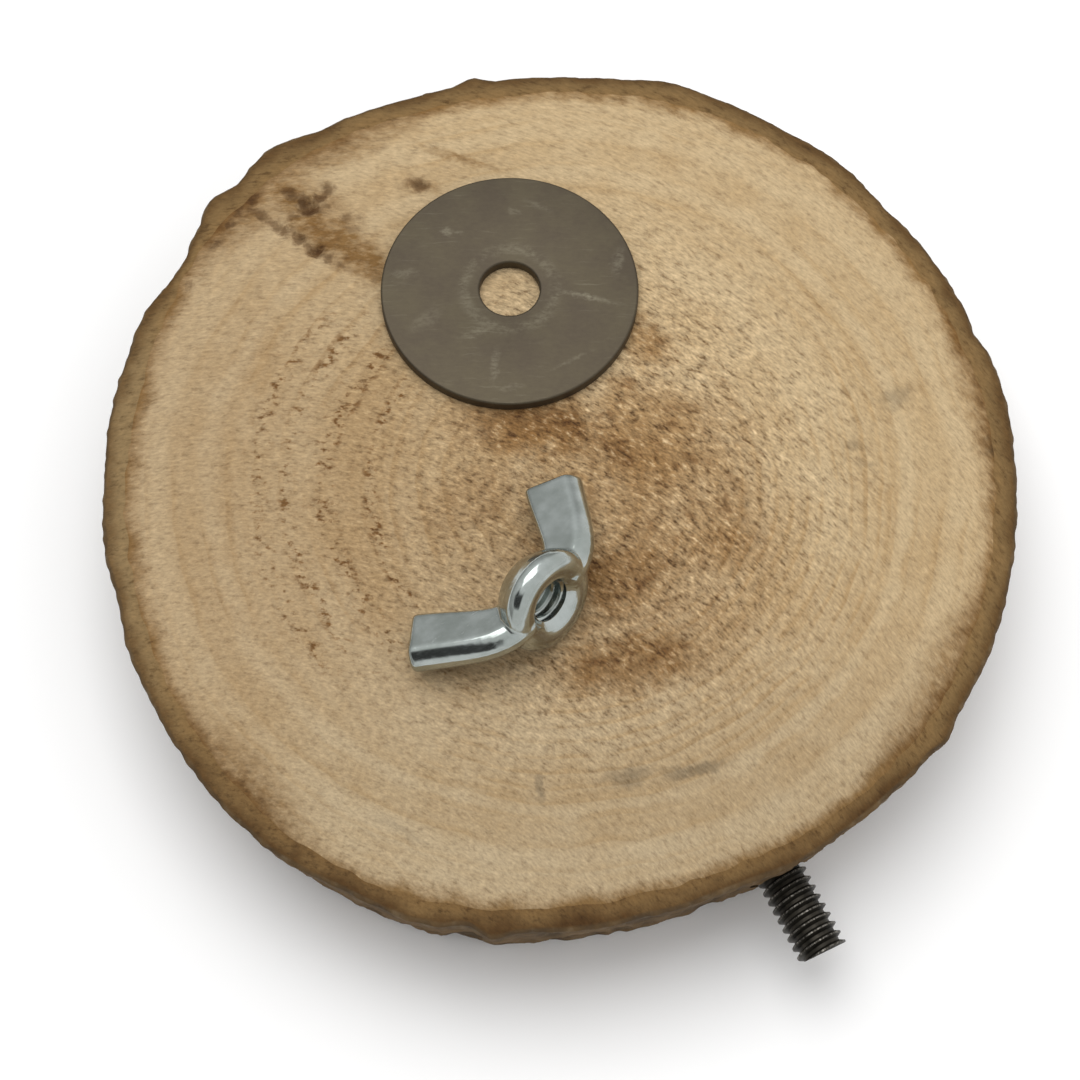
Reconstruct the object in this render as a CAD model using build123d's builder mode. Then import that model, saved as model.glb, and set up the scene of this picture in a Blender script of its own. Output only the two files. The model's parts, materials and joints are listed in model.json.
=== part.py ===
"""Bird perch: a slice of trunk with its bark on and a hanger bolt in its edge.

The washer and the wing nut that clamp it to the bars of a cage lie loose on its top face.
Millimetres. +Z is up, +X runs out along the bolt, and the origin is the middle of the underside.
"""
from build123d import *
import os
from math import asin, atan2, cos, degrees, hypot, radians, sin, tan

# The slice: mean radius over the bark at the top face, and how far its edge leans in on the way down.
SLICE_RADIUS = 60.0
SLICE_THICKNESS = 20.0
EDGE_LEAN = 12.0
BARK_THICKNESS = 3.2
BARK_WEAR = 0.9
OUTLINE_POINTS = 36
# The trunk isn't round: waves of each kind round it, how high they are, and their phase in degrees.
WAVE_COUNTS = (2, 3, 4, 6)
WAVE_HEIGHTS = (0.86, 0.57, 0.52, 0.33)
WAVE_PHASES = (-57.0, -160.0, 120.0, 97.0)

# The hanger bolt, half of the slice up its edge and beside the middle. Its machine thread is 1/4-20.
BOLT_SIDE = 2.9
STUD_REACH = 11.0
THREAD_RADIUS = 3.15
THREAD_PITCH = 1.27
THREAD_DEPTH = 0.75
THREAD_CREST = 0.16
THREAD_FLANK_LEAN = 30.0
THREAD_RUNOUT = 1.27
STUD_CHAMFER = 0.25
NECK_RADIUS = 2.75
NECK_LENGTH = 4.0
SCREW_LENGTH = 20.0
SCREW_PITCH = 2.6
SCREW_CREST_RADIUS = 2.9
SCREW_CORE_RADIUS = 2.2
SCREW_POINT = 4.0
BARK_HOLE_GAP = 1.4

# The washer, and where it lies on the top face.
WASHER_RADIUS = 17.0
WASHER_HOLE_RADIUS = 3.97
WASHER_THICKNESS = 1.6
WASHER_EDGE = 0.2
WASHER_PLACE = (-25.7, 5.7)

# The wing nut, drawn with its base at height 0 and its wings up. A wing runs through three middles, each
# given as (out from the axis, up from the base), and turns up from its root to its tip.
NUT_BASE_RADIUS = 6.8
NUT_BASE_ROUND = 1.5
NUT_TOP_RADIUS = 4.6
NUT_TOP_ROUND = 1.4
NUT_HEIGHT = 6.8
NUT_THREAD_CLEARANCE = 0.1
NUT_COUNTERSINK = 0.5
WING_THICKNESS = 3.8
WING_ROUND = 0.7
WING_ROOT = (3.7, 2.7)
WING_WAIST = (8.6, 5.8)
WING_TIP = (13.3, 11.8)
WING_ROOT_WIDTH = 5.0
WING_TIP_WIDTH = 6.3
WING_ROOT_SLOPE = 20.0
WING_TIP_SLOPE = 58.0
# It lies on the rim of its base and on its two wing tips, with the base end up.
NUT_PLACE = (19.3, -9.4)
NUT_HEADING = 205.0
NUT_REST_GAP = 0.1


def trunk_radius(turn):
    """Radius of the bark at the top face, in the direction turn (radians)."""
    kinds = zip(WAVE_COUNTS, WAVE_HEIGHTS, WAVE_PHASES)
    return SLICE_RADIUS + sum(height * cos(count * turn - radians(phase)) for count, height, phase in kinds)


def lean_in(height):
    """How far the slice's edge stands in from its top edge, at a height above the underside."""
    return (SLICE_THICKNESS - height) * tan(radians(EDGE_LEAN))


def trunk_section(height, inset):
    """The trunk's outline at one height, moved in by inset."""
    step = radians(360 / OUTLINE_POINTS)
    with BuildSketch(Plane.XY.offset(height)) as section:
        with BuildLine():
            turns = [step * index for index in range(OUTLINE_POINTS)]
            radii = [trunk_radius(turn) - lean_in(height) - inset for turn in turns]
            Spline([(r * cos(turn), r * sin(turn)) for r, turn in zip(radii, turns)], periodic=True)
        make_face()
    return section.sketch


def edge_place(inset):
    """Where the bolt's axis leaves the trunk's surface, moved in by inset, along X."""
    reach = trunk_radius(atan2(BOLT_SIDE, SLICE_RADIUS)) - lean_in(BOLT_HEIGHT) - inset
    return (reach**2 - BOLT_SIDE**2) ** 0.5


def thread_teeth(start, length, pitch, crest_radius, root_radius, crest):
    """Half profile of a thread's crests as (place along the axis, radius), with leaning flanks."""
    flank = abs(crest_radius - root_radius) * tan(radians(THREAD_FLANK_LEAN))
    first = start + flank + crest / 2
    count = int((length - 2 * flank - crest) / pitch) + 1
    points = []
    for index in range(count):
        middle = first + index * pitch
        points.append((middle - crest / 2 - flank, root_radius))
        points.append((middle - crest / 2, crest_radius))
        points.append((middle + crest / 2, crest_radius))
        points.append((middle + crest / 2 + flank, root_radius))
    return points


# Places that follow from the sizes above.
BOLT_HEIGHT = SLICE_THICKNESS / 2
BARK_FACE = edge_place(0)
WOOD_FACE = edge_place(BARK_THICKNESS)
STUD_END = BARK_FACE + STUD_REACH
THREAD_START = WOOD_FACE + THREAD_RUNOUT
THREAD_ROOT = THREAD_RADIUS - THREAD_DEPTH
NECK_START = WOOD_FACE - NECK_LENGTH
SCREW_TIP = NECK_START - SCREW_LENGTH - SCREW_POINT
BOLT_AXIS = Axis((0, BOLT_SIDE, BOLT_HEIGHT), (1, 0, 0))
BOLT_SIDE_PLANE = Plane(origin=(0, BOLT_SIDE, BOLT_HEIGHT), x_dir=(1, 0, 0), z_dir=(0, -1, 0))


# The wood inside the bark, with the hole that the bolt was driven into.
with BuildPart() as wood_slice:
    loft([trunk_section(0, BARK_THICKNESS), trunk_section(SLICE_THICKNESS, BARK_THICKNESS)], ruled=True)
    with BuildSketch(BOLT_SIDE_PLANE):
        with BuildLine():
            Polyline(
                (SCREW_TIP, 0),
                (SCREW_TIP + SCREW_POINT, SCREW_CORE_RADIUS),
                (NECK_START, SCREW_CORE_RADIUS),
                (NECK_START, NECK_RADIUS),
                (STUD_END, NECK_RADIUS),
                (STUD_END, 0),
                close=True,
            )
        make_face()
    revolve(axis=BOLT_AXIS, mode=Mode.SUBTRACT)
wood_slice.part.label = "wood_slice"


# The bark: a ring round the wood, its top and bottom edges rubbed back, torn open round the bolt.
with BuildPart() as bark_rim:
    bark_sections = [
        trunk_section(0, BARK_WEAR),
        trunk_section(BARK_WEAR, 0),
        trunk_section(SLICE_THICKNESS - BARK_WEAR, 0),
        trunk_section(SLICE_THICKNESS, BARK_WEAR),
    ]
    loft(bark_sections, ruled=True)
    wood_sections = [trunk_section(0, BARK_THICKNESS), trunk_section(SLICE_THICKNESS, BARK_THICKNESS)]
    loft(wood_sections, ruled=True, mode=Mode.SUBTRACT)
    with BuildSketch(Plane(origin=BOLT_AXIS.position, x_dir=(0, 1, 0), z_dir=(1, 0, 0))):
        Circle(THREAD_RADIUS + BARK_HOLE_GAP)
    extrude(amount=STUD_END, mode=Mode.SUBTRACT)
bark_rim.part.label = "bark_rim"


# The bolt, turned from one half profile: wood screw point, wood thread, plain neck, machine thread, end.
with BuildPart() as hanger_bolt:
    screw_start = SCREW_TIP + SCREW_POINT
    screw_teeth = thread_teeth(
        screw_start, SCREW_LENGTH, SCREW_PITCH, SCREW_CREST_RADIUS, SCREW_CORE_RADIUS, THREAD_CREST
    )
    stud_length = STUD_END - STUD_CHAMFER - THREAD_START
    stud_teeth = thread_teeth(
        THREAD_START, stud_length, THREAD_PITCH, THREAD_RADIUS, THREAD_ROOT, THREAD_CREST
    )
    with BuildSketch(BOLT_SIDE_PLANE):
        with BuildLine():
            Polyline(
                (SCREW_TIP, 0),
                *screw_teeth,
                (NECK_START, SCREW_CORE_RADIUS),
                (NECK_START, NECK_RADIUS),
                (THREAD_START, NECK_RADIUS),
                *stud_teeth,
                (STUD_END, THREAD_ROOT),
                (STUD_END, 0),
                close=True,
            )
        make_face()
    revolve(axis=BOLT_AXIS)
hanger_bolt.part.label = "hanger_bolt"


# The washer, flat on the top face, with its outer edges broken.
with BuildPart() as washer:
    with BuildSketch(Plane.XY.offset(SLICE_THICKNESS)):
        with Locations(WASHER_PLACE):
            Circle(WASHER_RADIUS)
            Circle(WASHER_HOLE_RADIUS, mode=Mode.SUBTRACT)
    extrude(amount=WASHER_THICKNESS)
    outer_edges = washer.edges().filter_by(GeomType.CIRCLE).filter_by(lambda e: e.radius > WASHER_HOLE_RADIUS)
    chamfer(outer_edges, WASHER_EDGE)
washer.part.label = "washer"


# How the nut lies. A round on it has its centre so far out from the axis and so far up from the base.
base_round_at = (NUT_BASE_RADIUS - NUT_BASE_ROUND, NUT_BASE_ROUND)
top_round_at = (NUT_TOP_RADIUS - NUT_TOP_ROUND, NUT_HEIGHT - NUT_TOP_ROUND)
tip_up = WING_TIP[1] + (WING_TIP_WIDTH / 2 - WING_ROUND) * cos(radians(WING_TIP_SLOPE))
tip_round_at = (WING_THICKNESS / 2 - WING_ROUND, tip_up)
# The floor touches the round of the base and the round of a wing tip, and the nut tilts to suit.
fall = base_round_at[0] - tip_round_at[0]
run = tip_round_at[1] - base_round_at[1]
NUT_TILT = atan2(fall, run) + asin((NUT_BASE_ROUND - WING_ROUND) / hypot(fall, run))


def depth_below(round_at, radius):
    """How far below the middle of the nut's base a round reaches, as the nut lies."""
    return round_at[0] * cos(NUT_TILT) + round_at[1] * sin(NUT_TILT) + radius


NUT_LIFT = max(
    depth_below(base_round_at, NUT_BASE_ROUND),
    depth_below(top_round_at, NUT_TOP_ROUND),
    depth_below(tip_round_at, WING_ROUND),
)
heading = radians(NUT_HEADING)
NUT_PLANE = Plane(
    origin=(*NUT_PLACE, SLICE_THICKNESS + NUT_LIFT + NUT_REST_GAP),
    x_dir=(-sin(heading), cos(heading), 0),
    z_dir=(cos(NUT_TILT) * cos(heading), cos(NUT_TILT) * sin(heading), -sin(NUT_TILT)),
)
NUT_SIDE = Plane(origin=NUT_PLANE.origin, x_dir=NUT_PLANE.x_dir, z_dir=-NUT_PLANE.y_dir)
NUT_AXIS = Axis(NUT_PLANE.origin, NUT_PLANE.z_dir)

bore_radius = THREAD_ROOT + NUT_THREAD_CLEARANCE
groove_radius = THREAD_RADIUS + NUT_THREAD_CLEARANCE


def wing_section(middle, width, slope):
    """One cross-section of a wing, square to the way the wing runs there."""
    out = NUT_PLANE.x_dir
    up = NUT_PLANE.z_dir
    turn = radians(slope)
    centre = NUT_PLANE.origin + out * middle[0] + up * middle[1]
    across = up * cos(turn) - out * sin(turn)
    along = out * cos(turn) + up * sin(turn)
    with BuildSketch(Plane(origin=centre, x_dir=across, z_dir=along)) as section:
        RectangleRounded(width, WING_THICKNESS, WING_ROUND)
    return section.sketch


# The wing nut: a wing and its mirror image, the hub that joins them, and the threaded hole.
with BuildPart() as wing_nut:
    waist_width = (WING_ROOT_WIDTH + WING_TIP_WIDTH) / 2
    waist_slope = (WING_ROOT_SLOPE + WING_TIP_SLOPE) / 2
    wing_sections = [
        wing_section(WING_ROOT, WING_ROOT_WIDTH, WING_ROOT_SLOPE),
        wing_section(WING_WAIST, waist_width, waist_slope),
        wing_section(WING_TIP, WING_TIP_WIDTH, WING_TIP_SLOPE),
    ]
    loft(wing_sections)
    mirror(about=Plane(origin=NUT_PLANE.origin, z_dir=NUT_PLANE.x_dir))
    with BuildSketch(NUT_SIDE):
        with BuildLine():
            base_edge = (NUT_BASE_RADIUS - NUT_BASE_ROUND, 0)
            top_edge = (NUT_TOP_RADIUS - NUT_TOP_ROUND, NUT_HEIGHT)
            base_round = RadiusArc(base_edge, (NUT_BASE_RADIUS, NUT_BASE_ROUND), -NUT_BASE_ROUND)
            top_round = RadiusArc((NUT_TOP_RADIUS, NUT_HEIGHT - NUT_TOP_ROUND), top_edge, -NUT_TOP_ROUND)
            Line(base_round @ 1, top_round @ 0)
            Polyline(base_edge, (0, 0), (0, NUT_HEIGHT), top_edge)
        make_face()
    revolve(axis=NUT_AXIS)
    nut_length = NUT_HEIGHT - 2 * NUT_COUNTERSINK
    nut_teeth = thread_teeth(
        NUT_COUNTERSINK, nut_length, THREAD_PITCH, groove_radius, bore_radius, THREAD_CREST
    )
    with BuildSketch(NUT_SIDE):
        with BuildLine():
            Polyline(
                (0, 0),
                (bore_radius + NUT_COUNTERSINK, 0),
                *[(radius, place) for place, radius in nut_teeth],
                (bore_radius, NUT_HEIGHT - NUT_COUNTERSINK),
                (bore_radius + NUT_COUNTERSINK, NUT_HEIGHT),
                (0, NUT_HEIGHT),
                close=True,
            )
        make_face()
    revolve(axis=NUT_AXIS, mode=Mode.SUBTRACT)
wing_nut.part.label = "wing_nut"


os.makedirs("parts", exist_ok=True)
for piece in (wood_slice, bark_rim, hanger_bolt, washer, wing_nut):
    export_step(piece.part, f"parts/{piece.part.label}.step")
print("bolt from", round(SCREW_TIP, 3), "to", round(STUD_END, 3), "bark face", round(BARK_FACE, 3))
print("wood face", round(WOOD_FACE, 3), "nut tilt", round(degrees(NUT_TILT), 3))
print("nut axis", NUT_PLANE.z_dir, "nut base", NUT_PLANE.origin)
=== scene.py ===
# %% [markdown]
# # A perch sawn from a trunk
#
# This lesson dresses a bird perch: a slice of trunk with its bark on, a threaded stud in its edge, and the
# loose washer and wing nut that clamp the stud between the bars of a cage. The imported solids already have
# every size and place. What is left for Blender is what saws, weather, forging and wear leave behind.

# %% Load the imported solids
import json
import math
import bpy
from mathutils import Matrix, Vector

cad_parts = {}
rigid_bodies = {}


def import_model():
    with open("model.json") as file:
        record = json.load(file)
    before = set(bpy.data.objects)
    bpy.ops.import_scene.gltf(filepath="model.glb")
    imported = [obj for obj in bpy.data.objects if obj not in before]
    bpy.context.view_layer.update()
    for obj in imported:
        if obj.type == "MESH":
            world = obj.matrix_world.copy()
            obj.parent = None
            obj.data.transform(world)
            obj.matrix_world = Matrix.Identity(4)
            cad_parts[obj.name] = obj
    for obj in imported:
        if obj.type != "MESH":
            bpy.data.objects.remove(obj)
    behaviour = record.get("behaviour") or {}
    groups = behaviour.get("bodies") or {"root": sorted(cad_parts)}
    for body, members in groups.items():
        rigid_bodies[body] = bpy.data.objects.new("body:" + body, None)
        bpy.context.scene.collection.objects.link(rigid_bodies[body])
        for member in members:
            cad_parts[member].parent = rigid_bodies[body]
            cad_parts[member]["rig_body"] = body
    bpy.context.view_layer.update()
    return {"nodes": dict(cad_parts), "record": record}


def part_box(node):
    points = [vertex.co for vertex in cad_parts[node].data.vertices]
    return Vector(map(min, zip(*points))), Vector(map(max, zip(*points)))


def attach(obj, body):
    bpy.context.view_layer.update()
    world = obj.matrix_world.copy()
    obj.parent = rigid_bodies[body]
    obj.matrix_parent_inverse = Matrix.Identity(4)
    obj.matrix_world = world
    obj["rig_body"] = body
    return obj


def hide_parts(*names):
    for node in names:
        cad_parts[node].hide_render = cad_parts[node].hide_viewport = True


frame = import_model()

from types import SimpleNamespace

import bmesh
import bpy
import numpy as np
from mathutils import Matrix, Vector, geometry, noise

MM = 0.001
FULL_TURN = 2 * math.pi
# Places closer than this, in millimetres, count as one.
WELD = 0.001

# %% [markdown]
# ## Millimetres first, metres last
#
# The perch is small: its thread is less than a millimetre deep. Remeshing and Boolean cuts are happier with
# numbers near one, so each piece is modelled in millimetres and shrunk to metres as the last thing before
# it becomes an object. Modifiers that a piece needs on the way run on throwaway objects.

# %% Modifiers on throwaway objects
def throwaway(name, bm):
    """An object that only lives while a modifier works on it."""
    mesh = bpy.data.meshes.new(name)
    bm.to_mesh(mesh)
    bm.free()
    made = bpy.data.objects.new(name, mesh)
    bpy.context.scene.collection.objects.link(made)
    return made


def with_modifier(bm, kind, **settings):
    """The shape after one modifier, as a new bmesh."""
    blank = throwaway("blank", bm)
    change = blank.modifiers.new(kind.lower(), kind)
    for name, value in settings.items():
        setattr(change, name, value)
    depsgraph = bpy.context.evaluated_depsgraph_get()
    shaped = bpy.data.meshes.new_from_object(blank.evaluated_get(depsgraph))
    result = bmesh.new()
    result.from_mesh(shaped)
    bpy.data.objects.remove(blank)
    bpy.data.meshes.remove(shaped)
    return result


def carved(bm, tool):
    """The shape with a closed tool shape cut out of it."""
    cutter = throwaway("cutter", tool)
    result = with_modifier(bm, "BOOLEAN", object=cutter, operation="DIFFERENCE", solver="EXACT")
    bpy.data.objects.remove(cutter)
    return result


# %% Steps that several pieces share
def everything(bm):
    return bm.verts[:] + bm.edges[:] + bm.faces[:]


def open_edges(bm):
    return [edge for edge in bm.edges if edge.is_boundary]


def face_outward(bm):
    bmesh.ops.recalc_face_normals(bm, faces=bm.faces[:])


def spin_round(bm, outline, steps):
    """Spins an outline once round the Z axis."""
    bmesh.ops.spin(bm, geom=outline, cent=(0, 0, 0), axis=(0, 0, 1), angle=FULL_TURN, steps=steps, use_merge=True)


def bevel_edges(bm, edges, offset, segments=4, profile=0.5):
    """Rounds edges off."""
    bmesh.ops.bevel(
        bm, geom=edges, offset=offset, segments=segments, profile=profile,
        affect="EDGES", clamp_overlap=True, material=-1,
    )


# %% From a bmesh to a piece
def add_piece(name, bm, node, finish, sharp_angle):
    """Shrinks a shape to metres and makes it the piece that is shown for a CAD node."""
    mesh = bpy.data.meshes.new(name)
    bm.to_mesh(mesh)
    bm.free()
    mesh.transform(Matrix.Scale(MM, 4))
    mesh.shade_smooth()
    mesh.set_sharp_from_angle(angle=sharp_angle)
    mesh.materials.append(finish)
    piece = bpy.data.objects.new(name, mesh)
    bpy.context.scene.collection.objects.link(piece)
    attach(piece, frame["nodes"][node]["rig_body"])
    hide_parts(node)
    print(name, "has", len(mesh.polygons), "faces")


def set_attribute(bm, name, values):
    """Writes one number per vertex, which a material can read under that name."""
    layer = bm.verts.layers.float.new(name)
    for vert, value in zip(bm.verts, values):
        vert[layer] = value


# %% [markdown]
# ## Finishes written as sums
#
# A procedural finish is arithmetic on places: how far from the pith, how far along a fibre. The class below
# wraps one output of a material's node tree, so that `1 - mask * 0.5` adds the Math nodes by itself. Every
# other node comes from its one method `node`, which sets the node up and links or sets its sockets.

# %% Wrap a socket
class Wire:
    """One output in a node tree. Sums on it add Math nodes to that tree."""

    def __init__(self, tree, socket=None):
        self.tree = tree
        self.socket = socket

    def node(self, kind, settings=None, inputs=None, output=0):
        """Adds a node, sets it up, fills its sockets with values or wires, and returns one output."""
        made = self.tree.nodes.new(kind)
        for name, value in (settings or {}).items():
            setattr(made, name, value)
        for name, value in (inputs or {}).items():
            if isinstance(value, Wire):
                self.tree.links.new(value.socket, made.inputs[name])
            else:
                made.inputs[name].default_value = value
        return Wire(self.tree, made.outputs[output])

    def math(self, operation, first, second=0.0):
        return self.node("ShaderNodeMath", {"operation": operation}, {0: first, 1: second})

    def __add__(self, other):
        return self.math("ADD", self, other)

    def __sub__(self, other):
        return self.math("SUBTRACT", self, other)

    def __rsub__(self, other):
        return self.math("SUBTRACT", other, self)

    def __mul__(self, other):
        return self.math("MULTIPLY", self, other)

    def __truediv__(self, other):
        return self.math("DIVIDE", self, other)

    def __pow__(self, other):
        return self.math("POWER", self, other)

    __radd__ = __add__
    __rmul__ = __mul__

    def ease(self, start, end):
        """0 before start, 1 after end and smooth between. Start may be the larger."""
        sockets = {"Value": self, "From Min": start, "From Max": end}
        return self.node("ShaderNodeMapRange", {"interpolation_type": "SMOOTHSTEP"}, sockets)

    def noise(self, size, detail=2.0, seed=0.0, roughness=0.5):
        """Soft noise, near 0.5 on average, on a place in millimetres, with lumps of about that size."""
        spread = size if isinstance(size, tuple) else (size, size, size)
        place = self.node("ShaderNodeVectorMath", {"operation": "DIVIDE"}, {0: self, 1: spread})
        sockets = {"Vector": place, "W": seed, "Scale": 1.0, "Detail": detail, "Roughness": roughness}
        return self.node("ShaderNodeTexNoise", {"noise_dimensions": "4D"}, sockets)

    def tint(self, first, second, blend="MIX"):
        """Mixes from the first colour to the second as this value goes from 0 to 1."""
        settings = {"data_type": "RGBA", "clamp_factor": True, "blend_type": blend}
        return self.node("ShaderNodeMix", settings, {0: self, 6: first, 7: second}, output=2)

    def stain(self, tone, dye):
        """Darkens a colour by a dye, as this value goes from 0 to 1."""
        return self.tint(tone, dye, "MULTIPLY")

    def axis(self, name):
        """One coordinate of a place."""
        return self.node("ShaderNodeSeparateXYZ", {}, {0: self}, output=name)

    def scaled(self, factor):
        """A place or a colour times a number."""
        return self.node("ShaderNodeVectorMath", {"operation": "SCALE"}, {0: self, "Scale": factor})

    def attribute(self, name):
        """The number that each vertex holds under that name."""
        return self.node("ShaderNodeAttribute", {"attribute_name": name}, output="Fac")

    def bump(self, strength, depth):
        """The slopes of a surface with this value as its height, and a depth in millimetres."""
        return self.node("ShaderNodeBump", {}, {"Strength": strength, "Distance": depth * MM, "Height": self})


# %% Start and end of a finish
def new_finish(name):
    """A material, a wire for places in millimetres, and the shader that the finish feeds."""
    material = bpy.data.materials.new(name)
    material.use_nodes = True
    tree = material.node_tree
    place = Wire(tree).node("ShaderNodeTexCoord", output="Object").scaled(1 / MM)
    return material, place, tree.nodes["Principled BSDF"]


def feed(shader, **sockets):
    """Links wires to the shader's sockets, or sets plain values on them. Names use _ for a space."""
    for name, value in sockets.items():
        socket = shader.inputs[name.replace("_", " ")]
        if isinstance(value, Wire):
            value.tree.links.new(value.socket, socket)
        else:
            socket.default_value = value


def colour(red, green, blue):
    return (red, green, blue, 1.0)


# %% [markdown]
# ## The camera and the light
#
# The photograph looks down at the perch from above the stud's side, about 31 cm away. The thread on the stud
# gives the scale, and the round washer gives the slope of the view. The light is a plain soft studio: a pale
# dome, bright overhead and dull on the far left, and one wide lamp. One patch of the dome is dark, because a
# bright metal edge only looks like metal when it has something dark to mirror.

# %% Camera
VIEW_TARGET = Vector((7.84, -6.14, 20.0)) * MM
VIEW_FROM = Vector((116.9, -59.1, 305.6)) * MM
SENSOR_WIDTH = 36.0
LENS = 81.63
CLIP_START = 0.01


def aim(thing, place):
    """Puts a camera or a lamp at a place and turns it to the slice."""
    thing.location = place
    thing.rotation_euler = (VIEW_TARGET - place).to_track_quat("-Z", "Y").to_euler()
    bpy.context.scene.collection.objects.link(thing)


camera = bpy.data.objects.new("camera", bpy.data.cameras.new("camera"))
camera.data.sensor_width = SENSOR_WIDTH
camera.data.lens = LENS
camera.data.clip_start = CLIP_START
aim(camera, VIEW_FROM)
bpy.context.scene.camera = camera
bpy.context.scene.view_settings.view_transform = "Standard"
print("camera", round((VIEW_FROM - VIEW_TARGET).length / MM, 1), "mm from the slice")

# %% Studio light and floor
SKY_OVERHEAD = colour(1.0, 1.0, 1.0)
SKY_FAR = colour(0.42, 0.42, 0.41)
SKY_NEAR = colour(1.0, 0.99, 0.98)
SKY_DARK = colour(0.02, 0.02, 0.02)
SKY_STRENGTH = 0.93
# Level directions that look down and right in the picture.
PICTURE_DOWN = (0.9, -0.437, 0.0)
PICTURE_RIGHT = (0.437, 0.9, 0.0)
LAMP_PLACE = Vector((-0.28, 0.0, 1.0))
LAMP_SIZE = 0.8
LAMP_WATTS = 5.5
FLOOR_RADIUS = 4.0
FLOOR_STEPS = 96
FLOOR_COLOUR = colour(0.95, 0.95, 0.95)
FLOOR_ROUGHNESS = 0.9

world = bpy.data.worlds.new("studio")
world.use_nodes = True
bpy.context.scene.world = world
look = Wire(world.node_tree).node("ShaderNodeTexCoord", output="Generated")
height = look.axis("Z")
near, side = (
    look.node("ShaderNodeVectorMath", {"operation": "DOT_PRODUCT"}, {0: look, 1: way}, output="Value")
    for way in (PICTURE_DOWN, PICTURE_RIGHT)
)
horizon = (near + side * 1.6).ease(-0.35, 0.25).tint(SKY_FAR, SKY_NEAR)
sky = height.ease(0.1, 0.8).tint(horizon, SKY_OVERHEAD)
# The nut's edges mirror this patch, on the near left and halfway up.
dark_patch = near.ease(0.0, 0.25) * height.ease(0.43, 0.51) * height.ease(0.88, 0.8) * side.ease(0.2, -0.1)
sky = dark_patch.tint(sky, SKY_DARK)
background = world.node_tree.nodes["Background"]
world.node_tree.links.new(sky.socket, background.inputs["Color"])
background.inputs["Strength"].default_value = SKY_STRENGTH

lamp = bpy.data.objects.new("lamp", bpy.data.lights.new("lamp", "AREA"))
lamp.data.size = LAMP_SIZE
lamp.data.energy = LAMP_WATTS
aim(lamp, LAMP_PLACE)

floor_bm = bmesh.new()
bmesh.ops.create_circle(floor_bm, cap_ends=True, segments=FLOOR_STEPS, radius=FLOOR_RADIUS)
floor_mesh = bpy.data.meshes.new("floor")
floor_bm.to_mesh(floor_mesh)
floor_bm.free()
floor_finish, _, floor_shader = new_finish("pale_floor")
feed(floor_shader, Base_Color=FLOOR_COLOUR, Roughness=FLOOR_ROUGHNESS)
floor_mesh.materials.append(floor_finish)
floor = bpy.data.objects.new("floor", floor_mesh)
bpy.context.scene.collection.objects.link(floor)

# %% [markdown]
# ## The trunk's outline
#
# A trunk isn't round, and the solids already say how this one isn't: their edges are read from the packed
# mesh, as a radius for every direction at the top and at the bottom. The saw leaned a little, so the slice
# is wider at the top. Wood and bark share one ragged line between them.

# %% Read the edges
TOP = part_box("wood_slice")[1].z / MM
# Vertices this close to a height, in millimetres, lie on that level.
LEVEL = 0.01


def mount(name):
    """One of the record's mounts."""
    return next(entry for entry in frame["record"]["mounts"] if entry["name"] == name)


def points_of(node):
    """Every vertex of a CAD node, in millimetres."""
    return np.array([vert.co for vert in frame["nodes"][node].data.vertices]) / MM


def ring_of(node, height):
    """Directions and radii of a node's vertices at one height, in order round the trunk."""
    points = points_of(node)
    ring = points[abs(points[:, 2] - height) < LEVEL]
    turns = np.arctan2(ring[:, 1], ring[:, 0])
    order = turns.argsort()
    return turns[order], np.hypot(ring[:, 0], ring[:, 1])[order]


def edge_at(rings, turns, heights):
    """Radius in each direction at each height, between a node's lower and upper ring."""
    low, high = (np.interp(turns, *ring, period=FULL_TURN) for ring in rings)
    return low + (high - low) * heights / TOP


bark_points = points_of("bark_rim")
BARK_SHOULDER = TOP - bark_points[np.hypot(bark_points[:, 0], bark_points[:, 1]).argmax(), 2]
wood_rings = [ring_of("wood_slice", 0), ring_of("wood_slice", TOP)]
bark_rings = [ring_of("bark_rim", BARK_SHOULDER), ring_of("bark_rim", TOP - BARK_SHOULDER)]
top_radii = wood_rings[1][1]
print("wood edge", top_radii.min().round(2), "to", top_radii.max().round(2), "mm from the middle")

# %% The ragged line between wood and bark
RAGGED = 0.45
# Width and height of its lumps.
RAGGED_LUMPS = (2.4, 9.0)


def on_trunk(turns, heights, across, down):
    """Places for noise that runs round a trunk without a seam, in lumps so wide and so tall."""
    radius = top_radii.mean()
    return np.stack([radius * np.cos(turns) / across, radius * np.sin(turns) / across, heights / down], axis=1)


def noise_at(places):
    return np.array([noise.noise(Vector(place)) for place in places])


def wood_edge(turns, heights):
    """Where the wood ends and the bark begins."""
    return edge_at(wood_rings, turns, heights) + RAGGED * noise_at(on_trunk(turns, heights, *RAGGED_LUMPS))


# %% [markdown]
# ## The sawn wood
#
# The slice was cut across the grain by a coarse saw, which tears the fibres and lays them over like a nap.
# A disc made by spinning a line would bunch its faces at the middle, so the face starts as a square grid that
# is spread over the disc: the cells stay even. A copy of it is the underside, and a bridge between the two
# rims is the wall. Each vertex then sinks by the saw's relief, never above the CAD's flat top, because the
# washer and the nut lie there.

# %% Saw marks
FACE_CELLS = 200
WALL_CUTS = 5
SAW_TURN = math.radians(-30)
SAW_SWING = math.radians(-0.36)
# The plan is the face as the picture shows it, turned by this from the frame's axes.
PLAN_TURN = math.radians(64.1)
NAP_LENGTH = 3.2
NAP_WIDTH = 1.3
NAP_DEPTH = 0.05
SAW_DEPTH = 0.09
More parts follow.
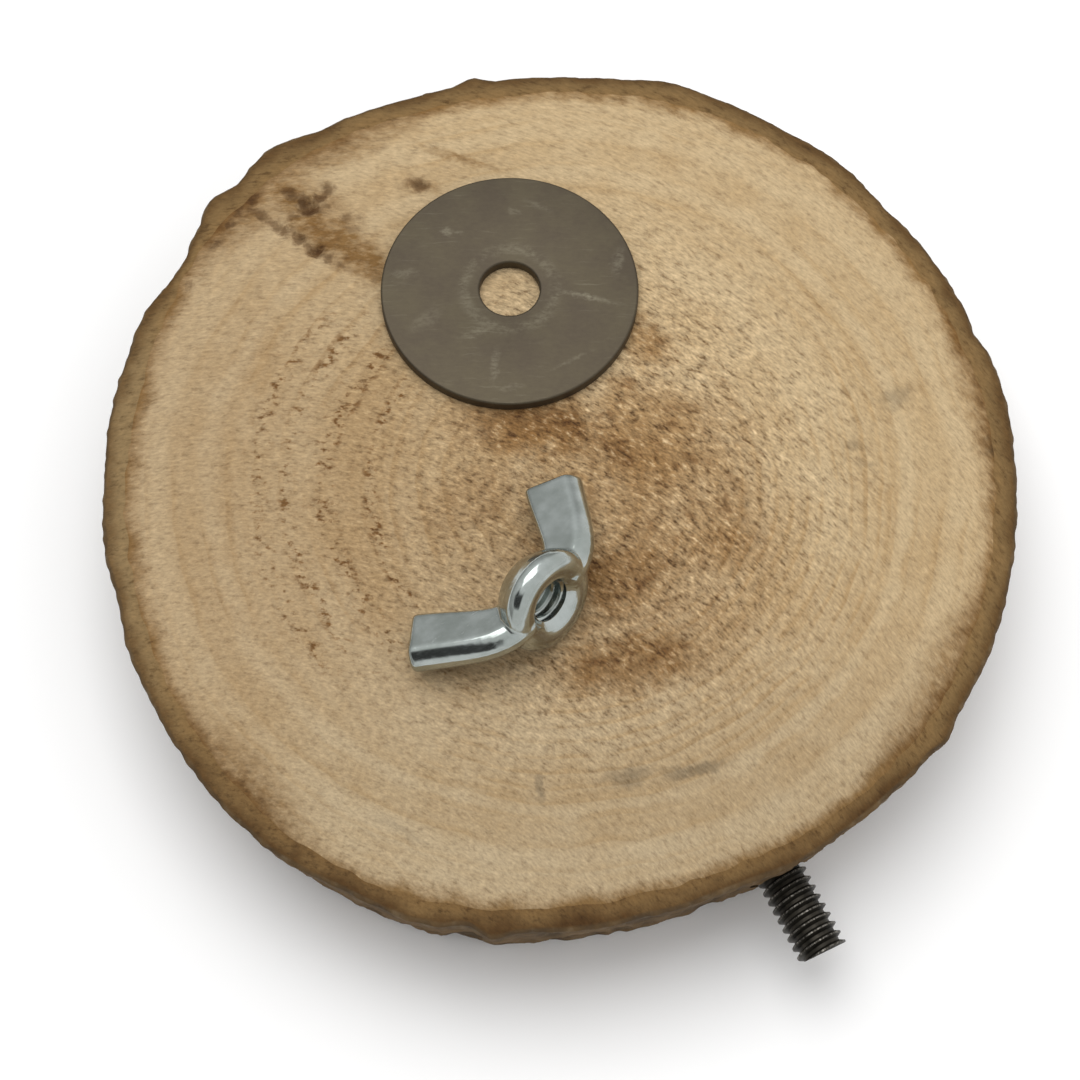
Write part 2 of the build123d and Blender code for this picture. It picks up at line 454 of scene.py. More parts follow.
# Holes that a grub left: right and up in the plan, radius and depth in millimetres.
GRUB_HOLES = [
    (-31.5, 41.5, 1.0, 0.6), (-33.6, 39.0, 1.5, 0.9), (-35.7, 40.3, 0.8, 0.5), (-37.0, 35.6, 0.9, 0.6),
    (-34.2, 34.1, 1.0, 0.7), (-32.2, 32.4, 1.3, 0.9), (-39.4, 37.5, 0.9, 0.5), (-40.6, 39.5, 0.7, 0.4),
    (-28.3, 37.3, 0.7, 0.4), (-18.3, 42.3, 0.9, 0.5),
]


def to_plan(x, y):
    """A place on the face, from the frame's axes to right and up in the plan that the picture shows."""
    cosine, sine = math.cos(PLAN_TURN), math.sin(PLAN_TURN)
    return x * cosine + y * sine, y * cosine - x * sine


def saw_relief(x, y):
    """How far the sawn face lies below the CAD's flat one."""
    right, up = to_plan(x, y)
    turn = SAW_TURN + SAW_SWING * right
    along = right * math.cos(turn) + up * math.sin(turn)
    across = up * math.cos(turn) - right * math.sin(turn)
    nap = noise.noise((along / NAP_LENGTH, across / NAP_WIDTH, 0.0))
    fuzz = noise.noise((along / NAP_WIDTH, across / NAP_WIDTH, 5.0))
    pits = [d * max(0, 1 - ((right - px) ** 2 + (up - py) ** 2) / r**2) for px, py, r, d in GRUB_HOLES]
    return SAW_DEPTH + NAP_DEPTH * (nap + 0.5 * fuzz) + sum(pits)


# %% Spread a square over a disc
def to_disc(square):
    """The share of the way out to the rim, and the direction, of places on a square from -1 to 1."""
    a, b = square[:, 0], square[:, 1]
    wide = abs(a) > abs(b)
    long_side = np.where(wide, a, b)
    slope = np.where(wide, b, a) / np.where(long_side == 0, 1, long_side) * math.pi / 4
    turns = np.where(wide, slope, math.pi / 2 - slope) + np.where(long_side < 0, math.pi, 0)
    return abs(long_side), turns


def sawn_wood():
    bm = bmesh.new()
    bmesh.ops.create_grid(bm, x_segments=FACE_CELLS, y_segments=FACE_CELLS, size=1)
    copy = bmesh.ops.duplicate(bm, geom=everything(bm))["geom"]
    bmesh.ops.reverse_faces(bm, faces=[part for part in copy if isinstance(part, bmesh.types.BMFace)])
    under = [part for part in copy if isinstance(part, bmesh.types.BMVert)]
    bmesh.ops.translate(bm, verts=under, vec=(0, 0, -1))
    wall = bmesh.ops.bridge_loops(bm, edges=open_edges(bm))
    bmesh.ops.subdivide_edges(bm, edges=wall["edges"], cuts=WALL_CUTS, use_grid_fill=True)
    square = np.array([vert.co for vert in bm.verts])
    share, turns = to_disc(square)
    heights = (square[:, 2] + 1) * TOP
    edge = wood_edge(turns, heights)
    x, y = share * edge * np.cos(turns), share * edge * np.sin(turns)
    sunk = np.array([saw_relief(*place) for place in zip(x, y)])
    facing = np.where(heights > TOP - LEVEL, -1, np.where(heights < LEVEL, 1, 0))
    for vert, place in zip(bm.verts, np.stack([x, y, heights + facing * sunk], axis=1)):
        vert.co = place
    set_attribute(bm, "from_bark", (1 - share) * edge)
    face_outward(bm)
    return bm


# %% [markdown]
# ## End grain
#
# Growth rings aren't circles round the middle: the pith lies to one side, and each ring is centred a little
# nearer to the slice's middle than the one inside it. That is a family of circles, and a place's ring is the
# root of one quadratic, which the sums below write out. Bands, years and fine lines are noise and fractions of
# that one number. Over them lie the brown heart, the torn fibres, rows of dark pores, and the stains that the
# photograph shows, each a soft ellipse with a wandering edge.

# %% Colours and marks of the face
# The pith on the plan, and the radius of the outermost ring.
PITH = Vector((2.0, -3.0))
GROWTH_RADIUS = 56.5
RINGS = 17.0
FINE_RINGS = 27.0
# Lumps of noise on the face: along the fibres, across them and down, in millimetres.
STRANDS = (1.7, 0.8, 4.0)
HAIRS = (0.8, 0.3, 4.0)
MOTTLE = (2.2, 1.3, 4.0)
PITS = (1.35, 0.8, 4.0)
CLUMPS = (3.4, 3.4, 4.0)
TEARS = (1.9, 1.1, 4.0)
# Rows of pits along some years: where a row begins, is thickest and ends, on the way from pith to bark.
PITTED_YEARS = [(0.42, 0.445, 0.47), (0.5, 0.54, 0.58), (0.6, 0.625, 0.65), (0.655, 0.69, 0.72)]
# The wood's colour under painted light on the upper right of the plan, and under painted shade on the lower left.
WOOD_PAINTED_LIT_SIDE = colour(0.495, 0.37, 0.213)
WOOD_PAINTED_SHADED_SIDE = colour(0.41, 0.3, 0.173)
GREY_WOOD = colour(0.425, 0.332, 0.207)
TORN_FIBRE = colour(0.58, 0.445, 0.27)
# Dyes that darken the wood: what each leaves of red, green and blue.
TAN_DYE = colour(0.84, 0.765, 0.66)
HEART_DYE = colour(0.6, 0.47, 0.32)
BROWN_DYE = colour(0.46, 0.345, 0.2)
GREY_DYE = colour(0.48, 0.5, 0.54)
PORE_DYE = colour(0.4, 0.28, 0.165)
GRUB_DYE = colour(0.26, 0.18, 0.11)
# Soft marks on the plan: right, up, half length, half width, direction in degrees and strength.
TAN_MARKS = [
    (-22, 0, 20, 24, 0, 0.55), (-34, -2, 1.3, 13, 4, 0.55), (-37.5, 8, 2.0, 16, 2, 0.3),
    (25, -22, 16, 5, 50, 0.45), (10, -42, 26, 7, 0, 0.25), (-40, -38, 16, 10, -45, 0.3),
]
HEART_MARKS = [
    (-3, 6.5, 10.5, 6, -5, 0.95), (13, 3, 13, 11, -30, 0.85), (20, -8, 8, 9, 0, 0.75), (7, -15, 9, 6, 10, 0.95),
    (9, -26, 12, 4.5, 8, 0.9), (-8, -4, 10, 5, 20, 0.4), (11, 19, 6, 3.5, -50, 0.7), (9, 9, 5, 6, 0, 0.8),
    (9, -10, 19, 20, 0, 0.55),
]
BROWN_MARKS = [
    (-30, 34.5, 11, 3.4, -38, 1.0), (-35.5, 40.5, 6, 3.8, -20, 0.85), (-25.5, 30.5, 5, 2.6, -40, 1.0),
    (-32, 39, 4, 4, 0, 0.6), (2.5, 6.5, 5, 1.6, -48, 0.75), (7.5, 3, 3.5, 1.5, -40, 0.6),
    (-4, 8, 8.5, 3.2, -6, 0.45), (-40.5, 39.5, 14, 4.2, 46, 0.7), (-27.5, 48.5, 13, 2.6, 29, 0.6),
    (-37.5, -42, 12, 3.6, -46, 0.6), (48.5, -27.5, 15, 3.6, 62, 0.6), (43.5, -35.5, 8, 3.4, 48, 0.5),
    (54.5, 12, 18, 2.2, 98, 0.6), (-13.5, 46.8, 6.5, 0.7, -22, 0.6), (13.5, -13, 4, 1.6, -10, 0.45),
    (6, -21, 4.5, 1.4, 25, 0.4), (-18.3, 42.3, 3, 2, -15, 0.5), (-27.6, 36.4, 2.6, 2.2, 0, 0.5),
    (7, -15, 8, 5, 10, 0.35), (9, -26, 11, 4, 8, 0.2),
]
GRUB_MARKS = [
    (-35.8, 41.0, 1.6, 1.0, -35, 0.7), (-34.0, 39.6, 1.6, 1.2, -40, 0.9), (-32.9, 38.6, 1.9, 1.2, 5, 0.95),
    (-31.8, 40.4, 1.5, 1.0, 48, 0.85), (-30.8, 41.8, 1.3, 1.0, 48, 0.7), (-30.6, 39.2, 1.0, 0.8, 0, 0.5),
    (-39.8, 38.0, 1.6, 0.9, -35, 0.6), (-37.8, 36.4, 1.3, 1.0, -35, 0.7), (-36.4, 35.4, 1.5, 0.9, -35, 0.8),
    (-34.4, 34.2, 1.4, 1.0, -35, 0.8), (-33.2, 33.0, 0.8, 0.7, 0, 0.6), (-32.0, 32.2, 1.5, 1.2, -20, 1.0),
    (-30.2, 31.0, 1.1, 0.9, -35, 0.7), (-28.8, 29.8, 1.0, 0.7, -35, 0.6), (-35.2, 37.4, 1.0, 0.7, 20, 0.5),
    (-40.8, 40.2, 1.0, 0.7, 45, 0.6), (-28.2, 37.4, 1.0, 0.8, 0, 0.55), (-27.0, 35.6, 1.0, 0.7, 0, 0.45),
    (-26.4, 37.6, 0.7, 0.6, 0, 0.4), (-18.5, 42.4, 1.9, 1.2, -15, 0.8), (-43.6, 36.2, 1.0, 0.6, 50, 0.6),
    (-45.6, 33.2, 1.0, 0.6, 55, 0.55), (-42.4, 38.4, 0.9, 0.6, 50, 0.55), (-48.5, 27.0, 0.9, 0.6, 60, 0.5),
]
GREY_MARKS = [
    (8.5, -40.8, 3.8, 1.3, 12, 0.6), (17, -40, 4.5, 1.0, 12, 0.75), (44, 10.5, 2.7, 1.5, 30, 0.5),
    (38.3, 3.8, 1.6, 1.2, 0, 0.45), (39.5, 1.0, 1.5, 0.8, 0, 0.35), (-2.2, -42.5, 0.55, 1.8, -5, 0.6),
    (57, 3.4, 1.5, 1.9, 0, 0.95), (-19, -48, 4, 0.7, -30, 0.3),
]


# %% Drawing on the face
def on_plan(place):
    """The same place, with its axes turned to right and up in the plan."""
    turned = {"Vector": place, "Angle": -PLAN_TURN}
    return place.node("ShaderNodeVectorRotate", {"rotation_type": "Z_AXIS"}, turned)


def wander(plan, lump, reach):
    """Places shifted about by noise, so that marks drawn on them get wandering edges."""
    sockets = {"Vector": plan, "Scale": 1 / lump, "Detail": 4.0, "Roughness": 0.65}
    shake = plan.node("ShaderNodeTexNoise", {}, sockets, output="Color")
    shake = plan.node("ShaderNodeVectorMath", {"operation": "SUBTRACT"}, {0: shake, 1: (0.5, 0.5, 0.5)})
    sockets = {0: shake, 1: (reach, reach, 0.0), 2: plan}
    return plan.node("ShaderNodeVectorMath", {"operation": "MULTIPLY_ADD"}, sockets)


def from_middle(place, right, up, long_half=1, wide_half=1, turn=0):
    """How far a place lies from the middle of an ellipse, which is 1 on the ellipse. Height hardly counts."""
    sockets = {
        "Vector": place, "Location": (right, up, 0), "Rotation": (0, 0, math.radians(turn)),
        "Scale": (long_half, wide_half, 1000),
    }
    local = place.node("ShaderNodeMapping", {"vector_type": "TEXTURE"}, sockets)
    return place.node("ShaderNodeVectorMath", {"operation": "LENGTH"}, {0: local}, output="Value")


def marks(place, spots):
    """The strongest of several soft ellipses at each place."""
    total = None
    for *ellipse, strength in spots:
        spot = from_middle(place, *ellipse).ease(1.3, 0.3) * strength
        total = spot if total is None else total.math("MAXIMUM", total, spot)
    return total


def fibres(plan):
    """Torn fibres, which lie along the saw's path: their places, coarse strands and fine hairs."""
    turned = {"Vector": plan, "Angle": plan.axis("X") * -SAW_SWING - SAW_TURN}
    laid = plan.node("ShaderNodeVectorRotate", {"rotation_type": "Z_AXIS"}, turned)
    return laid, laid.noise(STRANDS, 4.0, 2.0, 0.7), laid.noise(HAIRS, 3.0, 3.0, 0.6)


def growth(right, up):
    """0 at the pith and 1 at the bark, along rings whose middles drift to the middle of the slice."""
    away_right = right - PITH.x
    away_up = up - PITH.y
    lean = away_right * PITH.x + away_up * PITH.y
    room = GROWTH_RADIUS**2 - PITH.length_squared
    return (lean + (lean * lean + (away_right * away_right + away_up * away_up) * room) ** 0.5) / room


def ring_lines(ring, count, shake, start, peak):
    """Thin lines, so many from pith to bark. Within a ring each rises from start to peak and ends at 1."""
    rings = ring * count + shake
    share = rings.math("FRACT", rings)
    return share.ease(start, peak) * share.ease(1.0, peak)


# %% What the layers of the face share
def face_wires(place):
    """Places, fibres, blotches and rings of the sawn face."""
    plan = on_plan(place)
    right, up = plan.axis("X"), plan.axis("Y")
    laid, nap, fine = fibres(plan)
    drift = plan.noise(16.0, 2.0, 1.0)
    blotch = plan.noise(7.0, 4.0, 4.0, 0.6)
    ring = growth(right, up) + (drift - 0.5) * 0.06
    year_end = ring_lines(ring, RINGS, (blotch - 0.5) * 0.6, 0.6, 0.92) * drift.ease(0.35, 0.65)
    loose = wander(plan, 3.3, 9.0)
    heart = marks(loose, HEART_MARKS)
    return SimpleNamespace(
        plan=plan, right=right, up=up, laid=laid, nap=nap, fine=fine, blotch=blotch, ring=ring,
        year_end=year_end, loose=loose, heart=heart,
    )


# %% Rings and stains
def ringed(face):
    """Pale early wood, tan late wood and year ends, over painted light and shade: paler towards the upper right and
    duller towards the lower left. Below and on the right, finer rings show as thin lines.
    """
    lines = ring_lines(face.ring, FINE_RINGS, (face.blotch - 0.5) * 0.5, 0.5, 0.85)
    lines = lines * (face.right - face.up).ease(5.0, 40.0) * face.blotch.ease(0.3, 0.6) * face.ring.ease(0.88, 0.72)
    sockets = {"W": face.ring * 9.0, "Scale": 1.0, "Detail": 2.0}
    bands = face.plan.node("ShaderNodeTexNoise", {"noise_dimensions": "1D"}, sockets)
    # Painted light and shade: the wood is paler towards the upper right of the plan and duller towards the lower
    # left, as if lit from the upper right.
    tone = (face.right + face.up).ease(-50.0, 60.0).tint(WOOD_PAINTED_SHADED_SIDE, WOOD_PAINTED_LIT_SIDE)
    tone = (face.up.ease(-15.0, -50.0) * 0.8).tint(tone, GREY_WOOD)
    tan_share = bands.ease(0.4, 0.65) * 0.4 + (face.blotch - 0.46) * 1.5 + face.year_end * 0.45 + lines * 0.7
    return (tan_share + marks(face.loose, TAN_MARKS)).stain(tone, TAN_DYE)


def stained(face, tone):
    """The brown heart, then brown and grey stains."""
    close = wander(face.plan, 3.3, 4.5)
    mottle = face.laid.noise(MOTTLE, 4.0, 8.0, 0.65)
    tone = (face.heart * (0.55 + 0.9 * face.blotch)).stain(tone, HEART_DYE)
    tone = (marks(close, BROWN_MARKS) * (0.5 + 0.8 * mottle.ease(0.3, 0.7))).stain(tone, BROWN_DYE)
    return (marks(close, GREY_MARKS) * (0.4 + 1.2 * face.nap)).stain(tone, GREY_DYE)


# %% Torn fibres and pits
def torn(face, tone):
    """Dark pores between pale strands, boldest in the heart, then pits and torn clumps."""
    right, up, ring, nap = face.right, face.up, face.ring, face.nap
    inner = ring.ease(0.85, 0.3)
    bold = inner * right.ease(-30.0, 5.0) * 0.5 + inner * 0.15 + 0.27
    tone = (nap.ease(0.48, 0.32) * bold).stain(tone, PORE_DYE)
    tone = (nap.ease(0.53, 0.7) * bold * 0.6).tint(tone, TORN_FIBRE)
    # Pits in rows along some years, left of the heart and round its right side.
    left = right.ease(0.0, -12.0) * right.ease(-48.0, -40.0) * up.ease(26.0, 18.0) * up.ease(-34.0, -22.0)
    rows = sum(ring.ease(low, middle) * ring.ease(high, middle) for low, middle, high in PITTED_YEARS)
    clump = face.plan.noise(CLUMPS, 2.0, 6.0)
    pits = face.laid.noise(PITS, 3.0, 7.0, 0.6) + (clump - 0.5) * 0.4 - face.year_end * 0.08
    tone = (pits.ease(0.5, 0.27) * (left * (0.3 + rows) + rows * inner * 0.6) * 0.95).stain(tone, PORE_DYE)
    # In the heart the saw tore out whole clumps.
    tears = face.laid.noise(TEARS, 3.0, 9.0, 0.6) + (clump - 0.5) * 0.7
    tone = (tears.ease(0.47, 0.3) * face.heart * 0.75).stain(tone, PORE_DYE)
    return tone.scaled(1.0 + bold * (nap - 0.5) * 2.2 + (0.3 + bold) * (face.fine - 0.5) * 1.8)


# %% Sawn end grain
def sawn_end_grain():
    material, place, shader = new_finish("sawn_end_grain")
    face = face_wires(place)
    tone = torn(face, stained(face, ringed(face)))
    # The last wood before the bark is brown.
    brim = face.plan.attribute("from_bark") + (face.blotch - 0.5) * 6.0 + (face.nap - 0.5) * 2.5
    tone = brim.ease(2.4, -0.6).stain(tone, BROWN_DYE)
    grub = marks(wander(face.plan, 1.3, 2.6), GRUB_MARKS) * (0.5 + 0.9 * face.nap)
    tone = grub.stain(tone, GRUB_DYE)
    bump = (face.nap * 0.7 + face.fine * 0.3).bump(0.8, 0.35)
    feed(shader, Base_Color=tone, Roughness=0.8 + 0.15 * face.nap, Normal=bump, Specular_IOR_Level=0.25)
    return material


add_piece("sawn_wood", sawn_wood(), "wood_slice", sawn_end_grain(), math.radians(50))

# %% [markdown]
# ## The bark
#
# The bark is a thin ring with a sawn top and a weathered outside. Its cross-section is spun round the trunk
# as a unit square, so that every vertex still knows how far out and how far up it is; then it is moved to
# where the wood ends, and pushed in and out by furrows, lumps and the chips that the photograph shows.
# Where the stud comes through, the bark was torn by the drill: a lumpy cone is cut out of it.

# %% Shape of the bark
BARK_STEPS = 1200
TOP_CUTS = 7
SIDE_CUTS = 30
FOOT_CUTS = 5
LUMP_HEIGHT = 0.3
FURROW_DEPTH = 0.5
CRUST_HEIGHT = 0.22
TEETH_HEIGHT = 0.04
# Width and height of each kind of noise on the bark.
LUMPS = (11.0, 16.0)
FURROWS = (3.4, 13.0)
CRUST = (1.3, 1.8)
TEETH = (0.75, 1.6)
# Towards the sawn top, over this length, the furrows shrink to this share.
FURROW_FADE = 6.0
FURROW_LEAST = 0.2
# How uneven the bark's sawn top is, and how far it droops at the outside.
SAWN_CRUST = 0.05
SAWN_DROOP = 0.12
EDGE_WEAR = 0.4
EDGE_WEAR_DEPTH = 0.7
# Bumps and chips round the rim: direction and half reach in degrees, and height in millimetres.
RIM_SHAPES = [
    (193, 5.5, 1.2), (203, 3.0, 1.0), (213, 7.0, -1.3), (165, 2.5, 0.8), (139, 5.0, 0.5), (14, 11.0, -0.7),
    (308, 8.0, -0.8), (323.5, 2.5, -0.7), (327, 2.2, 0.7), (84, 2.5, -0.6), (356, 7.0, -0.5), (238, 9.0, 0.5),
    (262, 5.0, -0.5), (113, 7.0, 0.4), (27, 2.5, 0.5),
]


def rim_swell(turns):
    """The bumps and chips of the rim, added up."""
    total = np.zeros_like(turns)
    for middle, reach, swell in RIM_SHAPES:
        away = (np.degrees(turns) - middle + 180) % 360 - 180
        total += swell * np.clip(1.15 - abs(away) / reach, 0, 1)
    return total


# %% Spin the bark
def bark_rim():
    bm = bmesh.new()
    corners = [bm.verts.new((1 + out, 0, up)) for out, up in ((0, 0), (0, 1), (1, 1), (1, 0))]
    sides = [bm.edges.new(pair) for pair in zip(corners, corners[1:] + corners[:1])]
    for side, cuts in zip(sides, (2, TOP_CUTS, SIDE_CUTS, FOOT_CUTS)):
        bmesh.ops.subdivide_edges(bm, edges=[side], cuts=cuts)
    spin_round(bm, bm.verts[:] + bm.edges[:], BARK_STEPS)
    unit = np.array([vert.co for vert in bm.verts])
    turns = np.arctan2(unit[:, 1], unit[:, 0])
    out, up = np.hypot(unit[:, 0], unit[:, 1]) - 1, unit[:, 2]
    heights = up * TOP
    lumps = noise_at(on_trunk(turns, heights, *LUMPS))
    furrows = 0.5 - abs(noise_at(on_trunk(turns, heights, *FURROWS) + 20)) * 2
    furrows *= np.clip((TOP - heights) / FURROW_FADE, FURROW_LEAST, 1)
    crust = noise_at(on_trunk(turns, heights, *CRUST) + 40)
    teeth = noise_at(on_trunk(turns, heights, *TEETH) + 60)
    rough = LUMP_HEIGHT * lumps + FURROW_DEPTH * furrows + CRUST_HEIGHT * crust + TEETH_HEIGHT * teeth
    to_edge = np.minimum(heights, TOP - heights)
    wear = EDGE_WEAR * np.clip(1 - to_edge / EDGE_WEAR_DEPTH, 0, 1) ** 2 * (1 + 0.6 * crust)
    outer = edge_at(bark_rings, turns, heights) + rim_swell(turns) * (0.4 + 0.6 * up) + rough - wear
    inner = wood_edge(turns, heights)
    radius = inner + (outer - inner) * out
    sawn = (up > 1 - WELD) | (up < WELD)
    uneven = (SAWN_CRUST * crust + SAWN_DROOP * out**3) * (out > 0)
    sunk = np.where(sawn, (SAW_DEPTH + uneven) * np.where(up > 0.5, -1, 1), 0)
    for vert, r, turn, height in zip(bm.verts, radius, turns, heights + sunk):
        vert.co = (r * math.cos(turn), r * math.sin(turn), height)
    set_attribute(bm, "ridge", furrows + 0.6 * crust)
    set_attribute(bm, "sawn", sawn * (1 - 0.9 * (out > 1 - WELD)))
    set_attribute(bm, "out", out)
    face_outward(bm)
    return bm


# %% The torn hole
stud = mount("stud")
STUD_MIDDLE = Vector(stud["pos_m"]) / MM
STUD_RADIUS = stud["dims"]["r_mm"]
# Gap round the stud at the cone's inner and outer end.
TORN_GAPS = (0.7, 1.6)
TORN_LENGTH = 14.0
TORN_SHIFT = Vector((3, 0, 0))
TORN_STEPS = 36
TORN_CUTS = 12
TORN_LUMPS = 0.16


def torn_cone():
    """A lumpy cone round the stud, wider outside."""
    bm = bmesh.new()
    place = Matrix.Translation(STUD_MIDDLE - TORN_SHIFT) @ Matrix.Rotation(math.pi / 2, 4, "Y")
    inner, outer = (STUD_RADIUS + gap for gap in TORN_GAPS)
    bmesh.ops.create_cone(
        bm, cap_ends=True, segments=TORN_STEPS, radius1=inner, radius2=outer, depth=TORN_LENGTH, matrix=place
    )
    long_edges = [edge for edge in bm.edges if edge.calc_length() > TORN_LENGTH / 2]
    bmesh.ops.subdivide_edges(bm, edges=long_edges, cuts=TORN_CUTS, use_grid_fill=True)
    for vert in bm.verts:
        arm = vert.co - STUD_MIDDLE
        arm.x = 0
        vert.co += arm * TORN_LUMPS * noise.noise(vert.co * 0.7)
    return bm


# %% Bark finish
BARK_INNER = colour(0.2, 0.12, 0.046)
BARK_BROWN = colour(0.18, 0.11, 0.043)
BARK_OLIVE = colour(0.235, 0.158, 0.073)
BARK_WEATHERED = colour(0.13, 0.079, 0.033)
# Dark bark. It also paints shade into the furrows.
BARK_DARK_AND_FURROW_SHADE = colour(0.065, 0.041, 0.02)
BARK_GREY = colour(0.2, 0.15, 0.09)
PIT_DYE = colour(0.45, 0.36, 0.26)


def bark_finish():
    material, place, shader = new_finish("dry_bark")
    ridge, sawn, out = (place.attribute(name) for name in ("ridge", "sawn", "out"))
    plan = on_plan(place)
    right, up = plan.axis("X"), plan.axis("Y")
    _, nap, fine = fibres(plan)
    blotch = place.noise(7.0, 4.0, 1.0, 0.6)
    grain = place.noise(0.55, 3.0, 2.0, 0.65)
    crust = place.noise((1.6, 1.6, 4.0), 3.0, 3.0)
    # Partly painted shade: the outside darkens down in the furrows, where shade falls. It is weathered to a lighter
    # colour on the ridges.
    outside = ridge.ease(-0.5, 0.6).tint(BARK_DARK_AND_FURROW_SHADE, BARK_WEATHERED)
    outside = (crust.ease(0.5, 0.75) * 0.5).tint(outside, BARK_GREY)
    outside = (grain.ease(0.5, 0.25) * 0.6).tint(outside, BARK_DARK_AND_FURROW_SHADE)
    face = (out + (blotch - 0.5) * 2.0).ease(0.0, 0.5).tint(BARK_INNER, BARK_BROWN)
    # It is olive on the left of the plan, and darker below.
    face = (right.ease(-44.0, -57.0) * up.ease(28.0, 12.0) * (0.6 + 0.8 * blotch)).tint(face, BARK_OLIVE)
    face = (up.ease(-30.0, -50.0) * (blotch - 0.2) * 1.5).stain(face, PIT_DYE)
    face = ((out + (blotch - 0.5) * 1.8 + (nap - 0.5) * 1.0).ease(0.35, 1.05) * 0.8).stain(face, PIT_DYE)
    face = (nap.ease(0.5, 0.3) * 0.7).stain(face, PIT_DYE)
    light = 1.0 + (nap - 0.5) * 0.9 + (fine - 0.5) * 0.9
    tone = sawn.tint(outside, face.scaled(light))
    bump = (grain * 0.5 + crust * 0.3 + nap * 0.4).bump(0.7, 0.4)
    feed(shader, Base_Color=tone, Roughness=0.82 + 0.12 * grain, Normal=bump, Specular_IOR_Level=0.2)
    return material


add_piece("bark", carved(bark_rim(), torn_cone()), "bark_rim", bark_finish(), math.radians(60))

# %% [markdown]
# ## The hanger bolt
#
# One end of a hanger bolt is a machine thread, the other a wood screw that is driven into the slice. The CAD
# has rings for crests. Here the thread is what it really is, a helix: one tooth's profile is spun about the
# axis while it moves along by a pitch a turn, the turns are welded to each other, and two planes cut the
# ends off. The free end was cropped, so its plane leans.

# %% Threaded rod
THREAD_STEPS = 48
FLANK_LEAN = math.radians(30)


def threaded_rod(start, end, crest_radius, root_radius, pitch, crest, end_lean=0.0):
    """A closed rod along +X with a right-hand thread, cut square at its start and leaning at its end."""
    bm = bmesh.new()
    flank = (crest_radius - root_radius) * math.tan(FLANK_LEAN)
    tooth = [
        (0, root_radius), (flank, crest_radius), (flank + crest, crest_radius), (2 * flank + crest, root_radius),
        (pitch, root_radius),
    ]
    turns = math.ceil((end - start) / pitch) + 3
    verts = [bm.verts.new((start - 2 * pitch + along, 0, radius)) for along, radius in tooth]
    edges = [bm.edges.new(pair) for pair in zip(verts, verts[1:])]
    bmesh.ops.spin(
        bm, geom=verts + edges, cent=(0, 0, 0), axis=(1, 0, 0), dvec=(pitch / THREAD_STEPS, 0, 0),
        angle=FULL_TURN * turns, steps=THREAD_STEPS * turns,
    )
    bmesh.ops.remove_doubles(bm, verts=bm.verts[:], dist=WELD)
    end_normal = Vector((math.cos(end_lean), 0, -math.sin(end_lean)))
    for place, normal in ((start, Vector((-1, 0, 0))), (end, end_normal)):
        bmesh.ops.bisect_plane(
            bm, geom=everything(bm), plane_co=(place, 0, 0), plane_no=normal, clear_outer=True
        )
        bmesh.ops.holes_fill(bm, edges=[edge for edge in open_edges(bm) if near_plane(edge, place, normal)])
    face_outward(bm)
    return bm


def near_plane(edge, place, normal):
    return all(abs((vert.co - Vector((place, 0, 0))).dot(normal)) < WELD for vert in edge.verts)


# %% The whole bolt
bolt_low, bolt_high = (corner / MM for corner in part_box("hanger_bolt"))
STUD_PITCH = 1.27
STUD_ROOT = STUD_RADIUS - 0.62
STUD_CREST = 0.16
CROP_LEAN = math.radians(9)
WOOD_FACE = edge_at(wood_rings, np.zeros(1), np.full(1, STUD_MIDDLE.z))[0]
NECK_RADIUS = 2.75
NECK_LENGTH = 4.0
SCREW_PITCH = 2.6
SCREW_RADIUS = 2.9
SCREW_CORE = 2.2
SCREW_POINT = 4.0
SCREW_TIP = 0.15


def rod_between(start, end, first_radius, last_radius):
    """A plain round rod or point along +X."""
    bm = bmesh.new()
    place = Matrix.Translation(((start + end) / 2, 0, 0)) @ Matrix.Rotation(math.pi / 2, 4, "Y")
    bmesh.ops.create_cone(
        bm, cap_ends=True, segments=THREAD_STEPS, radius1=first_radius, radius2=last_radius,
        depth=end - start, matrix=place,
    )
    return bm


def joined(*shapes):
    """Several closed shapes in one bmesh."""
    whole = bmesh.new()
    for shape in shapes:
        mesh = bpy.data.meshes.new("part")
        shape.to_mesh(mesh)
        shape.free()
        whole.from_mesh(mesh)
        bpy.data.meshes.remove(mesh)
    return whole


def hanger_bolt():
    neck_start = WOOD_FACE - NECK_LENGTH
    screw_start = bolt_low.x + SCREW_POINT
    bm = joined(
        threaded_rod(WOOD_FACE, bolt_high.x, STUD_RADIUS, STUD_ROOT, STUD_PITCH, STUD_CREST, CROP_LEAN),
        rod_between(neck_start, WOOD_FACE, NECK_RADIUS, NECK_RADIUS),
        threaded_rod(screw_start, neck_start, SCREW_RADIUS, SCREW_CORE, SCREW_PITCH, STUD_CREST),
        rod_between(bolt_low.x, screw_start, SCREW_TIP, SCREW_CORE),
    )
    radius = [math.hypot(vert.co.y, vert.co.z) for vert in bm.verts]
    set_attribute(bm, "crest", [(r - STUD_ROOT) / (STUD_RADIUS - STUD_ROOT) for r in radius])
    bmesh.ops.translate(bm, verts=bm.verts[:], vec=(0, STUD_MIDDLE.y, STUD_MIDDLE.z))
    return bm


# %% Black oxide
OXIDE = colour(0.045, 0.04, 0.031)
OXIDE_DARK = colour(0.02, 0.018, 0.014)
OXIDE_WORN = colour(0.24, 0.225, 0.2)


